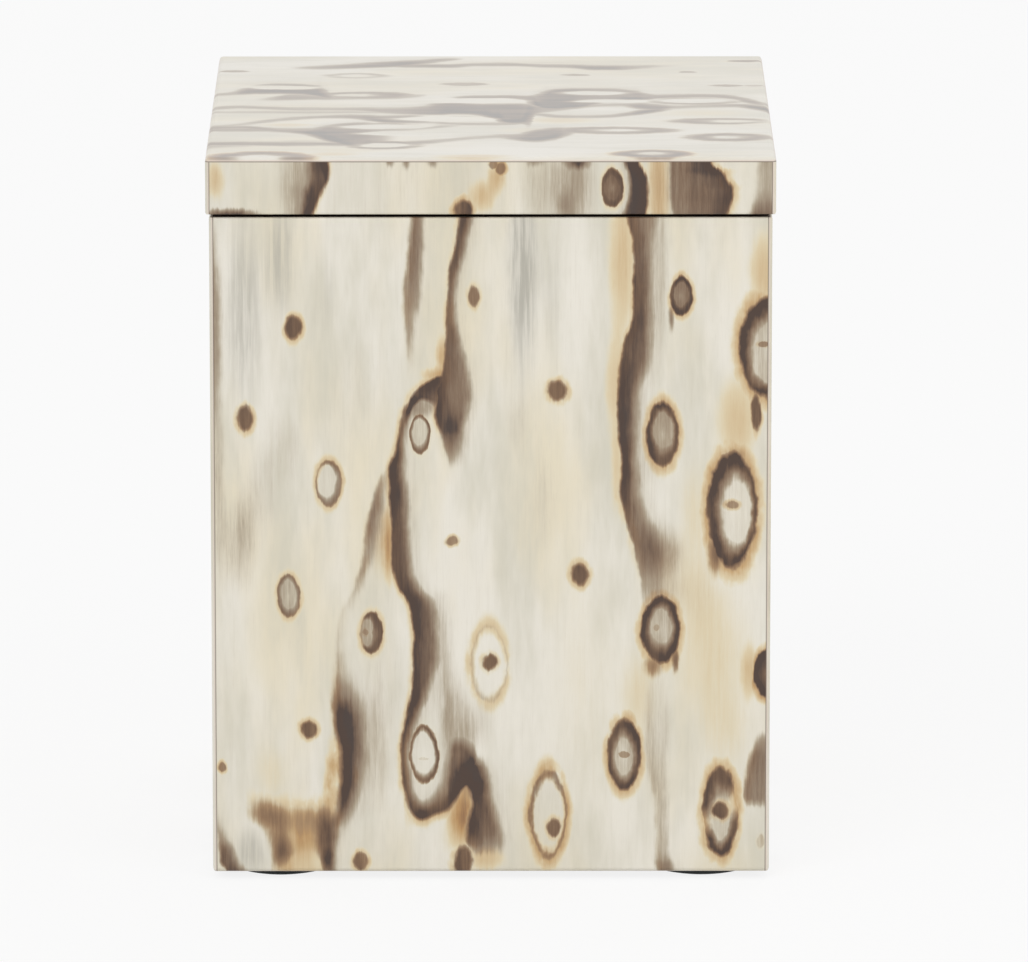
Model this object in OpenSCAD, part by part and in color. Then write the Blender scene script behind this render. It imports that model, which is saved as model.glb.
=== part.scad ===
// Square box with a lift-off lid, faced on every side with figured veneer.
// Mitred boards make the carcass. A thin dark liner stands inside it and rises
// above the rim as a collar, which guides the lid and carries its ceiling, so
// that a narrow shadow gap stays open all round. Four round feet are glued
// underneath.
//
// The origin is on the surface that the box stands on, under the middle of its
// square plan. The front is towards -Y, the right side towards +X.

/* [Body] */
// Width and depth of the body over its veneers
body_w = 115; // [80:1:200]
// Height of the body from its underside to its rim
body_h = 138; // [50:1:250]
// Thickness of the mitred wall boards
wall_t = 6; // [4:0.5:10]
// Thickness of the floor board
floor_t = 5; // [3:0.5:8]
// How far the floor board reaches into the rebate of each wall
rebate_d = 3; // [1.5:0.5:3.5]

/* [Veneer] */
// Thickness of the veneer sheets
veneer_t = 0.8; // [0.5:0.1:1.5]
// Radius of the eased outer edges
ease_r = 1; // [0.4:0.1:1.5]
// Radius of the eased edges on both sides of the shadow gap
rim_ease_r = 0.5; // [0.2:0.1:1]

/* [Liner] */
// Thickness of the liner boards
liner_t = 2; // [1.5:0.5:4]
// Radius of the eased edges on top of the collar
collar_ease_r = 0.5; // [0.2:0.1:0.6]

/* [Lid] */
// Height of the lid over its veneer
lid_h = 11.8; // [10.8:0.1:20]
// How far the lid stands proud of the body on each side
lid_overhang = 0.7; // [0:0.1:2]
// Thickness of the board under the lid's top veneer
lid_board_t = 5; // [3:0.5:6]
// Gap that shows between the lid and the rim of the body
shadow_gap = 0.7; // [0.3:0.1:2]
// Play between the collar and the lid's rails on each side
lid_play = 0.6; // [0.2:0.1:1]

/* [Linings] */
// Thickness of the felt sheets in the body and in the lid
felt_t = 0.8; // [0.4:0.1:1.2]
// Room left round the edge of a felt sheet
felt_room = 0.3; // [0.1:0.1:1]

/* [Feet] */
// Diameter of the round feet
foot_d = 22; // [10:1:30]
// Thickness of the feet
foot_t = 1.5; // [1:0.1:4]
// Distance from the edge of a foot to the sides of the body
foot_inset = 3; // [1:0.5:8]

/* [Hidden] */
$fn = 64;

// Turn of each side about the upright axis, counted from the front
FRONT = 0;
RIGHT = 90;
BACK = 180;
LEFT = 270;

// Widths of the square shells, from the outside inwards
carcass_w = body_w - 2 * veneer_t;
liner_w = carcass_w - 2 * wall_t;
inside_w = liner_w - 2 * liner_t;
floor_w = liner_w + 2 * rebate_d;

// Sizes of the lid
lid_w = body_w + 2 * lid_overhang;
lid_core_w = lid_w - 2 * veneer_t;
lid_inside_w = liner_w + 2 * lid_play;
lid_rail_t = (lid_core_w - lid_inside_w) / 2;
lid_rail_h = lid_h - veneer_t - lid_board_t;

// Levels above the surface that the box stands on
body_z = foot_t;
floor_top_z = body_z + floor_t;
rim_z = body_z + body_h;
lid_z = rim_z + shadow_gap;
lid_ceiling_z = lid_z + lid_rail_h;
collar_top_z = lid_ceiling_z - felt_t;
lid_sheet_h = lid_h - veneer_t;

// Middle of a foot, measured from the upright axis of the box
foot_reach = body_w / 2 - foot_inset - foot_d / 2;

// Room by which a cutting shape runs past what it cuts
past = 1;

veneer_color = [0.88, 0.84, 0.74];
board_color = [0.71, 0.56, 0.39];
liner_color = [0.13, 0.10, 0.09];
felt_color = [0.16, 0.15, 0.15];
foot_color = [0.24, 0.25, 0.25];

// Waste between a right-angled corner at the origin and the arc that eases it
module corner_waste(r) {
    difference() {
        translate([-past, -past]) square(past + r);
        translate([r, r]) circle(r);
    }
}

// Upright rectangle, centred across, whose lower and upper corners are eased
module eased_outline(w, h, low_r, high_r) {
    difference() {
        translate([-w / 2, 0]) square([w, h]);
        for (side = [0, 1]) mirror([side, 0]) {
            if (low_r > 0) translate([-w / 2, 0]) corner_waste(low_r);
            translate([-w / 2, h]) mirror([0, 1]) corner_waste(high_r);
        }
    }
}

// Level bar of the given length with an eased outline, centred on the upright axis
module eased_bar(length, w, h, low_r, high_r, turn) {
    rotate([90, 0, turn]) linear_extrude(length, center = true)
        eased_outline(w, h, low_r, high_r);
}

// Square block whose upright, lower and upper edges are all eased
module eased_block(w, h, low_r, high_r) {
    length = w + 2 * past;
    intersection() {
        linear_extrude(h) translate([0, -w / 2]) eased_outline(w, w, ease_r, ease_r);
        eased_bar(length, w, h, low_r, high_r, FRONT);
        eased_bar(length, w, h, low_r, high_r, RIGHT);
    }
}

// Outer form of the body, eased below and finely eased at its rim
module body_form() {
    translate([0, 0, body_z]) eased_block(body_w, body_h, ease_r, rim_ease_r);
}

// Outer form of the lid, finely eased below and eased on top
module lid_form() {
    translate([0, 0, lid_z]) eased_block(lid_w, lid_h, rim_ease_r, ease_r);
}

// Board along one side of a square frame, its ends cut to meet at a mitre
module mitred_board(frame_w, t, h, turn) {
    outer = frame_w / 2;
    inner = outer - t;
    rotate([0, 0, turn]) linear_extrude(h)
        polygon([[-outer, -outer], [outer, -outer], [inner, -inner], [-inner, -inner]]);
}

// Square sheet or board, centred on the upright axis
module square_sheet(w, t) {
    translate([-w / 2, -w / 2, 0]) cube([w, w, t]);
}

// Upright sheet on one face of a square block, stopping short of both its ends
module face_sheet(w, t, h, short, turn) {
    rotate([0, 0, turn]) translate([-w / 2 + short, -w / 2, 0]) cube([w - 2 * short, t, h]);
}

// Wall board of the body with the rebate that takes the floor board
module wall(turn) {
    color(board_color) intersection() {
        difference() {
            translate([0, 0, body_z]) mitred_board(carcass_w, wall_t, body_h, turn);
            translate([0, 0, body_z - past]) square_sheet(floor_w, floor_t + past);
        }
        body_form();
    }
}

// Floor board, let into the rebates of the four walls
module floor_board() {
    color(board_color) translate([0, 0, body_z]) square_sheet(floor_w, floor_t);
}

// Veneer sheet on one side of the body; the side sheets cover the others' ends
module veneer(turn, short) {
    color(veneer_color) intersection() {
        translate([0, 0, body_z]) face_sheet(body_w, veneer_t, body_h, short, turn);
        body_form();
    }
}

// Liner board, standing on the floor board and rising past the rim as the collar
module liner(turn) {
    h = collar_top_z - floor_top_z;
    color(liner_color) translate([0, 0, floor_top_z]) intersection() {
        mitred_board(liner_w, liner_t, h, turn);
        rotate([0, 0, turn]) translate([0, (liner_t - liner_w) / 2, 0])
            eased_bar(liner_w, liner_t, h, 0, collar_ease_r, RIGHT);
    }
}

// Felt sheet on the floor board, inside the liner
module floor_lining() {
    color(felt_color) translate([0, 0, floor_top_z])
        square_sheet(inside_w - 2 * felt_room, felt_t);
}

// Four round feet under the corners of the body
module feet() {
    color(foot_color)
        for (x = [-foot_reach, foot_reach], y = [-foot_reach, foot_reach])
            translate([x, y, 0]) cylinder(d = foot_d, h = foot_t);
}

// Board that stiffens the top of the lid
module lid_board() {
    color(board_color) intersection() {
        translate([0, 0, lid_ceiling_z]) square_sheet(lid_core_w, lid_board_t);
        lid_form();
    }
}

// Rail under one edge of the lid's board
module lid_rail(turn) {
    color(board_color) intersection() {
        translate([0, 0, lid_z]) mitred_board(lid_core_w, lid_rail_t, lid_rail_h, turn);
        lid_form();
    }
}

// Veneer sheet over the top of the lid, covering the upper edges of the others
module lid_top_veneer() {
    color(veneer_color) intersection() {
        translate([0, 0, lid_z + lid_sheet_h]) square_sheet(lid_w, veneer_t);
        lid_form();
    }
}

// Veneer sheet on one side of the lid; the side sheets cover the others' ends
module lid_veneer(turn, short) {
    color(veneer_color) intersection() {
        translate([0, 0, lid_z]) face_sheet(lid_w, veneer_t, lid_sheet_h, short, turn);
        lid_form();
    }
}

// Felt sheet under the lid's board, which comes to rest on the collar
module lid_lining() {
    color(felt_color) translate([0, 0, collar_top_z])
        square_sheet(lid_inside_w - 2 * felt_room, felt_t);
}

wall(FRONT);  // front_wall
wall(RIGHT);  // right_wall
wall(BACK);  // back_wall
wall(LEFT);  // left_wall
floor_board();
veneer(FRONT, veneer_t);  // front_veneer
veneer(RIGHT, 0);  // right_veneer
veneer(BACK, veneer_t);  // back_veneer
veneer(LEFT, 0);  // left_veneer
liner(FRONT);  // front_liner
liner(RIGHT);  // right_liner
liner(BACK);  // back_liner
liner(LEFT);  // left_liner
floor_lining();
feet();
lid_board();
lid_rail(FRONT);  // lid_front_rail
lid_rail(RIGHT);  // lid_right_rail
lid_rail(BACK);  // lid_back_rail
lid_rail(LEFT);  // lid_left_rail
lid_top_veneer();
lid_veneer(FRONT, veneer_t);  // lid_front_veneer
lid_veneer(RIGHT, 0);  // lid_right_veneer
lid_veneer(BACK, veneer_t);  // lid_back_veneer
lid_veneer(LEFT, 0);  // lid_left_veneer
lid_lining();
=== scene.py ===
"""Looks of the square box with a lift-off lid, faced with figured veneer.

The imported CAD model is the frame. Its boards and veneers stay and get node
materials. The felt linings and feet are modelled here. Sizes are in metres,
apart from the figure of the veneer, which is laid out in millimetres.
"""

import math
import random

import bmesh
import bpy
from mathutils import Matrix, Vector, noise


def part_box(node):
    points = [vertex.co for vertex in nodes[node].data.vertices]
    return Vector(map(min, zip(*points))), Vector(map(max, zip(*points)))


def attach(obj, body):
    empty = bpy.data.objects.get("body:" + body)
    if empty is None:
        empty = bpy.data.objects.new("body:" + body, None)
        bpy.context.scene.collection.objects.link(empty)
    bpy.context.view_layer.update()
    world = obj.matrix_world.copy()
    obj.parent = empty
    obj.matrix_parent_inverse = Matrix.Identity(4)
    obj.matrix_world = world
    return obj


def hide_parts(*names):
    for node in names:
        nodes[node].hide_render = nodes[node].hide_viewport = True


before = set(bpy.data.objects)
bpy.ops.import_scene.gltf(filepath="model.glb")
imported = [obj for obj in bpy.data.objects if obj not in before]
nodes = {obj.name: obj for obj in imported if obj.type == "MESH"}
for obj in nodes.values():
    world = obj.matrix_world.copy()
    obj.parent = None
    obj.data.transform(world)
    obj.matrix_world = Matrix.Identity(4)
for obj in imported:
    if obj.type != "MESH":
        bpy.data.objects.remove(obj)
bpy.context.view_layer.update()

MM = 0.001
X, Y, Z = 0, 1, 2

# Outer planes of the body and of the lid, and the sheet's thickness, in millimetres
BODY_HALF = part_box("right_veneer")[1].x / MM
LID_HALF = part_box("lid_right_veneer")[1].x / MM
LID_TOP_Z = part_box("lid_top_veneer")[1].z / MM
SHEET_T = LID_TOP_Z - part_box("lid_top_veneer")[0].z / MM

# Colours as they show, in sRGB from 0 to 255
CREAM = (239, 234, 222)
WARM_CREAM = (235, 225, 200)
SHADED_CREAM = (213, 208, 190)
# Pale grey that the lid's top is blended toward: painted glare, a painted sheen of the bright surroundings
PAINTED_GLARE_COLOUR = (233, 230, 225)
FIBRE_SHADE = (196, 186, 166)
COOL_SHADE = (180, 176, 164)
GLOW = [(0, (233, 226, 203)), (0.2, (229, 215, 182)), (0.4, (219, 197, 158)),
        (0.6, (206, 175, 130)), (0.8, (188, 146, 95)), (1, (144, 102, 66))]
GREY_DARK = [(0, (210, 201, 182)), (0.3, (184, 171, 149)), (0.55, (154, 136, 115)),
             (0.78, (122, 99, 79)), (0.9, (98, 77, 62)), (1, (68, 54, 47))]
BROWN_DARK = [(0, (206, 178, 136)), (0.3, (178, 146, 108)), (0.55, (148, 117, 86)),
              (0.78, (120, 92, 68)), (0.9, (98, 73, 54)), (1, (72, 53, 42))]
SHEET_EDGE = (226, 211, 198)
GLUE_LINE = (112, 96, 84)
BOARD_DARK = (58, 44, 36)
BOARD_LIGHT = (84, 64, 50)
LINER_DARK = (30, 25, 23)
LINER_LIGHT = (48, 40, 36)
FELT_DARK = (50, 51, 53)
FELT_LIGHT = (86, 89, 90)
FOOT_DARK = (44, 48, 48)
FOOT_LIGHT = (82, 88, 88)
FLOOR_GREY = (236, 236, 236)
WHITE = (255, 255, 255)


def linear(colour):
    """An sRGB colour as the RGBA that a shader socket takes."""
    parts = [c / 255 for c in colour]
    return [c / 12.92 if c <= 0.04045 else ((c + 0.055) / 1.055) ** 2.4 for c in parts] + [1.0]


class Graph:
    """Short forms for building a node tree."""

    def __init__(self, tree):
        self.tree = tree
        self.tree.nodes.clear()

    def feed(self, socket, value):
        if isinstance(value, bpy.types.NodeSocket):
            self.tree.links.new(value, socket)
        else:
            socket.default_value = value

    def node(self, kind, inputs=(), **settings):
        made = self.tree.nodes.new("ShaderNode" + kind)
        for name, value in settings.items():
            setattr(made, name, value)
        for index, value in dict(inputs).items():
            self.feed(made.inputs[index], value)
        return made

    def math(self, operation, *values, clamp=False):
        made = self.node("Math", enumerate(values), operation=operation, use_clamp=clamp)
        return made.outputs[0]

    def product(self, first, *others):
        for value in others:
            first = self.math("MULTIPLY", first, value)
        return first

    def greater(self, a, b):
        return self.math("MAXIMUM", a, b)

    def vector(self, operation, *values):
        made = self.node("VectorMath", enumerate(values), operation=operation)
        return made.outputs["Value" if operation in ("LENGTH", "DOT_PRODUCT") else "Vector"]

    def times(self, vector, amount):
        return self.node("VectorMath", {0: vector, 3: amount}, operation="SCALE").outputs["Vector"]

    def join(self, x, y, z=0):
        return self.node("CombineXYZ", {0: x, 1: y, 2: z}).outputs[0]

    def split(self, vector):
        return self.node("SeparateXYZ", {0: vector}).outputs

    def place_in_mm(self):
        return self.times(self.node("TexCoord").outputs["Object"], 1 / MM)

    def step(self, value, low, high):
        """0 at low and 1 at high, eased between them; it falls where low is the greater."""
        inputs = {0: value, 1: low, 2: high}
        return self.node("MapRange", inputs, interpolation_type="SMOOTHSTEP").outputs[0]

    def scaled_step(self, value, scale, shares):
        """An eased step whose two ends are these shares of the scale."""
        return self.step(value, self.product(scale, shares[0]), self.product(scale, shares[1]))

    def between(self, value, low, high):
        """The value's 0 to 1 as low to high."""
        return self.node("MapRange", {0: value, 3: low, 4: high}).outputs[0]

    def choose(self, factor, a, b):
        return self.node("Mix", {0: factor, 4: a, 5: b}, data_type="VECTOR").outputs[1]

    def blend(self, factor, a, b):
        a, b = (linear(c) if isinstance(c, tuple) else c for c in (a, b))
        return self.node("Mix", {0: factor, 6: a, 7: b}, data_type="RGBA").outputs[2]

    def ramp(self, value, stops):
        made = self.node("ValToRGB", {0: value})
        bar = made.color_ramp.elements
        for _ in stops[2:]:
            bar.new(0.5)
        for element, (place, colour) in zip(bar, stops):
            element.position = place
            element.color = linear(colour)
        return made.outputs[0]

    def noise(self, place, scales, detail, rough):
        """A noise with a scale for each direction."""
        place = self.vector("MULTIPLY", place, scales)
        inputs = {"Vector": place, "Scale": 1, "Detail": detail, "Roughness": rough}
        return self.node("TexNoise", inputs).outputs[0]

    def use(self, group, inputs):
        """One copy of a node group; gives its outputs in order."""
        made = self.tree.nodes.new("ShaderNodeGroup")
        made.node_tree = group
        for name, value in inputs.items():
            self.feed(made.inputs[name], value)
        return list(made.outputs)


def new_material(name):
    material = bpy.data.materials.new(name)
    material.use_nodes = True
    return material, Graph(material.node_tree)


def new_group(name, vectors_in, numbers_in, vectors_out, numbers_out):
    """An empty node group with sockets of these names, the vectors first on each side."""
    tree = bpy.data.node_groups.new(name, "ShaderNodeTree")
    g = Graph(tree)
    for way, kind, labels in (
            ("INPUT", "Vector", vectors_in), ("INPUT", "Float", numbers_in),
            ("OUTPUT", "Vector", vectors_out), ("OUTPUT", "Float", numbers_out)):
        for label in labels:
            tree.interface.new_socket(name=label, in_out=way, socket_type="NodeSocket" + kind)
    given = tree.nodes.new("NodeGroupInput").outputs
    wanted = tree.nodes.new("NodeGroupOutput").inputs
    return g, given, wanted


def cover(g, colour, roughness, relief, relief_height, **shader):
    """Gives the surface its colour, roughness and relief, and the shader's own values as named."""
    bump = g.node("Bump", {"Height": relief, "Distance": relief_height, "Strength": 1})
    inputs = {"Base Color": colour, "Roughness": roughness, "Normal": bump.outputs[0]}
    inputs.update({name.replace("_", " "): value for name, value in shader.items()})
    surface = g.node("BsdfPrincipled", inputs)
    g.node("OutputMaterial", {0: surface.outputs[0]})


# What a band has where its call says no other, and a faded one: widths in millimetres, and amounts
BAND_LOOKS = {"halo": 1.6, "soft": 2, "warmth": 0.6, "tone": 0.95, "crisp": 0.9, "lasting": 0.35}
FADED_LOOKS = {"soft": 3, "warmth": 0.3, "tone": 1.05, "crisp": 3.8}


class Band:
    """A dark streak, sharp and warm at one edge and soft and grey at the other.

    Each row is (place along the grain, low edge, high edge, strength), or for a
    lying band (place across the grain, lower edge, upper edge, strength). The
    sharp edge is the low one, unless the band is flipped. Halo, soft and crisp
    are widths: of the warm glow before the sharp edge, of the fading at the far
    edge and of the sharp edge itself. Warmth and tone are the amounts of glow
    and of dark; a tone of 0 leaves only the glow. Lasting is the share of the
    warmth that stays inside.
    """

    def __init__(self, rows, flip=False, lying=False, **looks):
        self.rows = rows
        self.flip = flip
        self.lying = lying
        self.looks = {**BAND_LOOKS, **looks}


def faded(rows, **looks):
    """A band of the lid's top, whose edges the light has blurred."""
    return Band(rows, **{**FADED_LOOKS, **looks})


class Figure:
    """What is drawn on one veneer.

    Bands are as above.
    Each ring: middle across and along the grain, half width, half length, rim,
    fill, halo, lean across and along, strength.
    Each dot: middle across and along, half width, half length, halo, strength.
    Each patch: middle across and along, half width, half length, warm amount,
    dark amount. Amounts of patches add up. A warm amount under 0 shades the
    cream cool, and a dark one under 0 cuts into the marks.
    """

    def __init__(self, bands, rings, dots, patches):
        self.bands = bands
        self.rings = rings
        self.dots = dots
        self.patches = patches


# The front of the body: across from the middle, and up from the surface it stands on
FRONT_BANDS = [
    # From the rim down to the mass beside the upper ring
    Band([(139.5, -6.2, -4, 1), (134, -7.1, -5.1, 1), (129, -8.4, -6.5, 0.95), (124, -8.7, -7.4, 0.9),
          (119, -9.1, -7.4, 0.92), (114, -9.3, -6.3, 1), (109, -9.6, -5, 1), (106, -10.2, -4.5, 1),
          (103, -11.2, -4.4, 1), (99, -11.2, -4.9, 1), (96, -10.5, -5.7, 0.95), (94, -9.9, -6, 0.75),
          (91, -9.2, -6.6, 0.45), (87, -8.6, -6.9, 0)], halo=1.7, soft=2.2),
    # Over the upper ring, as a hood
    Band([(-18.9, 96, 97, 0), (-17.9, 95.6, 98.6, 0.9), (-16.7, 98.2, 101.2, 1), (-15.5, 100.4, 102.9, 1),
          (-13.9, 101.5, 104.4, 1), (-12.2, 101, 105.6, 1), (-10.6, 99.4, 106.4, 1), (-9.2, 97, 106.6, 0.9),
          (-8.2, 97, 106.6, 0)], halo=2.2, soft=1.1, warmth=0.75, flip=True, lying=True),
    # Down from the hood to the ring near the bottom
    Band([(101, -17.4, -16.6, 0), (99, -18, -17, 0.9), (94, -18.9, -17.8, 1), (91, -19.4, -18.1, 1),
          (86, -20.8, -18.2, 1), (80, -20.7, -17.4, 1), (74, -20.4, -17.1, 1), (68, -20.6, -16.7, 1),
          (65, -20, -16.1, 1), (62, -18.8, -14.7, 1), (59, -16.9, -12.4, 1), (56, -16.3, -11.6, 1),
          (50, -15.9, -11.3, 0.97), (44, -15.9, -12, 0.97), (38, -16.7, -14, 1), (35, -17.4, -15.3, 1),
          (32, -17.8, -16.2, 1), (26, -18.5, -17.3, 1), (21, -18.2, -16.8, 1), (18, -17.6, -16.2, 1),
          (16, -17, -15.5, 0.9), (14.4, -16.2, -15.2, 0)], halo=1.8, soft=2.6, warmth=0.66, tone=1),
    # Round under that ring and up over the golden gap
    Band([(-18.2, 20, 24, 0), (-17.5, 17, 22, 0.9), (-16, 13.6, 18.2, 1), (-14.2, 12.8, 16, 1),
          (-12, 13.6, 17, 1), (-10.8, 14.2, 18.6, 1), (-9.8, 14.5, 21, 1), (-9, 14.8, 23.8, 1),
          (-8, 15.8, 27.6, 1), (-7, 17.4, 29.3, 1), (-6, 19.2, 29.2, 1), (-4.6, 20.2, 28.4, 1),
          (-3.6, 19.4, 27.6, 0.9), (-2.8, 18, 26.8, 0)],
         halo=2.8, soft=3, warmth=0.8, tone=1, crisp=1.3, lying=True),
    # From there down to the bottom edge
    Band([(27, -6.6, -2.6, 0), (24.6, -6.4, -1.6, 0.7), (22, -6, -0.8, 1), (19.6, -4, -0.3, 1),
          (17, -3.5, 0.2, 1), (14, -4.1, 1, 1), (11, -5, 1.8, 0.97), (8.6, -5.2, 2.2, 0.85),
          (6.6, -4.4, 2.5, 0.5), (4.4, -3.4, 2.6, 0)], halo=2.4, soft=2.8, warmth=0.8, tone=1, crisp=1.3),
    # Mauve streak beside the first
    Band([(139.5, -16, -13.7, 0.76), (134, -16.5, -13.7, 0.76), (129, -17, -14.1, 0.76),
          (124, -17.4, -14.5, 0.76), (119, -17.4, -15.2, 0.6), (114, -17.2, -15.5, 0.45),
          (110, -17, -15.8, 0.26), (105, -17, -16, 0)], halo=1.4, warmth=0.46, tone=0.84, crisp=1.9),
    # Faint line out to the left, down to the blackest mass
    Band([(89, -20.8, -19.6, 0), (83, -23.2, -21.7, 0.6), (80, -24.1, -22.3, 0.72),
          (76, -25.2, -23.3, 0.74), (72, -25.7, -23.8, 0.64), (68, -26.2, -24.4, 0.56),
          (65, -27.1, -25.3, 0.48), (62, -28.2, -26.3, 0.36), (56, -31.1, -29.2, 0.22),
          (50, -32, -30, 0.24), (47, -32, -29.8, 0.36), (43, -31.8, -29.2, 0.4), (38, -31.6, -29, 0)],
         soft=2.2, warmth=0.5, tone=0.76, crisp=1.4),
    # The blackest mass, low on the left, and the gold that clings to it
    Band([(49, -32, -30, 0), (43, -32.2, -28.6, 0.32), (39, -32.2, -27.6, 0.6), (36, -32, -27, 0.86),
          (33, -31.9, -26.8, 1), (30, -31.4, -26.8, 1), (27, -30.7, -26.8, 1), (23, -30.7, -27.2, 1),
          (18, -31.1, -28, 0.92), (14, -31.6, -29.4, 0.8), (12, -32.3, -30.4, 0.6), (8, -33, -31.4, 0.34),
          (3, -33.4, -32, 0.3)], halo=1.8, soft=4.4, warmth=0.9, tone=1.2, crisp=2.4, lasting=0.1),
    Band([(36, -33.4, -31.6, 0), (31, -32.6, -30.6, 0.5), (28, -32.8, -29.4, 0.9), (24, -33.3, -29, 1),
          (19, -34, -30, 0.85), (13, -34.6, -31.4, 0.6), (6, -34.8, -32.4, 0)],
         halo=1.8, warmth=0.74, tone=0, lasting=1),
    # Along the right, down to the grey under the pair of small rings
    Band([(139.5, 28, 33.4, 0.9), (135, 28.9, 32.5, 0.96), (128, 29.1, 32.3, 1), (118, 28.9, 32.5, 1),
          (114, 27.5, 32.4, 1), (108, 26.5, 31.9, 1), (104, 26.2, 30.3, 1), (97, 25.9, 29.6, 1),
          (90, 26.9, 29.5, 1), (86, 27, 29.9, 1), (83, 26.3, 29.9, 1), (79, 27.1, 30.9, 0.95),
          (76, 27.7, 32.4, 0.86), (72, 28.9, 34, 0.72), (69, 29.6, 35, 0.54), (65, 30.6, 35, 0.38),
          (60, 31, 35.6, 0.2), (54, 31.4, 36, 0)], halo=2.4, soft=3.2, warmth=0.66),
    # The golden fringe over the brown arch low on the left
    Band([(-51, 15.5, 18, 0), (-48.5, 14, 17.2, 0.6), (-45, 12, 16.6, 0.8), (-39, 11.6, 16.2, 0.8),
          (-34, 11.6, 16.6, 0.85), (-31.8, 12, 17, 0)],
         halo=4.6, warmth=0.5, tone=0, lasting=1, flip=True, lying=True),
    # In the lower corner on the left
    Band([(17, -56.8, -56.2, 0), (12, -56.8, -55.6, 0.3), (8, -56.3, -54.4, 0.6), (6, -56, -53.6, 0.88),
          (3.5, -55.8, -52.4, 0.94), (1.5, -54.4, -50.8, 0.95)], halo=0.8, soft=2.4, warmth=0.4, crisp=1.1),
    # Olive shade low on the right
    Band([(47, 33.4, 36.2, 0), (38, 32.2, 36.8, 0.25), (31, 31.9, 36.9, 0.36), (24, 32.4, 36.3, 0.45),
          (18, 33.6, 36.3, 0.52), (9, 34.2, 36.6, 0.48), (5, 34.2, 37, 0.6), (3, 34.4, 37.6, 0.95),
          (1.5, 34.6, 38, 1)], halo=0.8, warmth=0.3, tone=0.66, crisp=2),
    # Mauve mark at the edge on the right
    Band([(32, 55.6, 58, 0), (28, 54.4, 58, 0.7), (24, 53.2, 58, 0.9), (21, 52.7, 58, 0.9),
          (18, 52.5, 58, 0.9), (16.4, 52.8, 58, 0.6), (15, 53, 58, 0)],
         soft=1, warmth=0.4, tone=0.84, crisp=1.8),
]
FRONT_RINGS = [
    (-33.3, 84, 2.6, 5, 0.22, 0.22, 0.55, 0.5, -0.3, 0.66),
    (-41.6, 60.2, 2.6, 4.6, 0.26, 0.45, 0.5, 0, -0.2, 0.68),
    (-24.5, 52.5, 2.5, 4.6, 0.4, 0.45, 0.5, 0.8, 0, 0.9),
    (-14.4, 94.3, 2.3, 4.3, 0.24, 0.3, 0.2, 0.1, -0.3, 0.84),
    (-13.8, 26.6, 3.1, 6.3, 0.19, 0.1, 0.15, 0.1, -0.2, 0.84),
    (-0.4, 45.8, 3.9, 8.4, 0.12, 0.1, 0.45, -0.3, -0.4, 0.26),
    (11.8, 13.8, 3.9, 9.6, 0.14, 0.2, 0.85, -0.2, 0.2, 0.6),
    (27.5, 26.6, 3.7, 7.7, 0.34, 0.3, 0.75, 0, 0.1, 0.97),
    (35.2, 94.2, 3.5, 6.9, 0.34, 0.46, 0.75, -0.1, -0.3, 0.97),
    (39, 123.2, 2.4, 4.2, 0.38, 0.68, 0.7, 0, -0.2, 0.95),
    (34.9, 53, 4.1, 7.4, 0.36, 0.32, 0.75, -0.1, -0.2, 0.97),
    (49.6, 78.4, 5.2, 12.4, 0.3, 0.16, 0.9, -0.4, 0.1, 1),
    (56.5, 112.4, 5.8, 10.6, 0.28, 0.28, 0.85, -0.2, 0.3, 1),
    (47.4, 14.4, 3.9, 9.6, 0.36, 0.24, 0.75, 0, 0.3, 0.97), (56.8, 43.8, 2.8, 5.2, 0.6, 0.9, 1, 0, 0, 1),
]
FRONT_DOTS = [
    (-40.4, 116.6, 1.9, 3, 0.8, 0.95), (-50.3, 97.6, 2.1, 3.2, 0.85, 0.98),
    (-37.7, 31.9, 1.9, 2.2, 0.75, 0.97), (-55.3, 24, 0.9, 1.4, 0.8, 0.7), (-26.9, 3.9, 1.8, 2.3, 0.8, 0.85),
    (-3.4, 123.1, 1.5, 2.6, 0.6, 0.74), (-7.7, 71.8, 1.4, 1.2, 0.6, 0.66),
    (13.7, 103.3, 2.4, 2.6, 0.8, 0.97), (18.2, 64.7, 2.3, 2.8, 0.7, 1), (-0.3, 46.2, 1.8, 2.1, 0.5, 1),
    (12.8, 11, 1.8, 2.4, 0.6, 0.9), (49.6, 79.4, 1.6, 1.1, 0.6, 0.62), (55.6, 113, 1.4, 0.8, 0.5, 0.6),
    (47.4, 14.6, 2.1, 2.2, 0.6, 1), (27.5, 26.6, 1.5, 0.9, 0.2, 0.55), (34.2, 53.4, 0.9, 0.9, 0.3, 0.4),
    (-25.8, 52.6, 1, 0.9, 0.6, 0.62), (-13.8, 25.6, 1.3, 0.4, 0.1, 0.24), (-5.9, 3.4, 2.4, 4.6, 0.6, 0.97),
    (54.4, 98.8, 1.3, 4.6, 0.7, 0.95), (55.6, 8, 1, 2, 0.2, 0.3),
]
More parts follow.
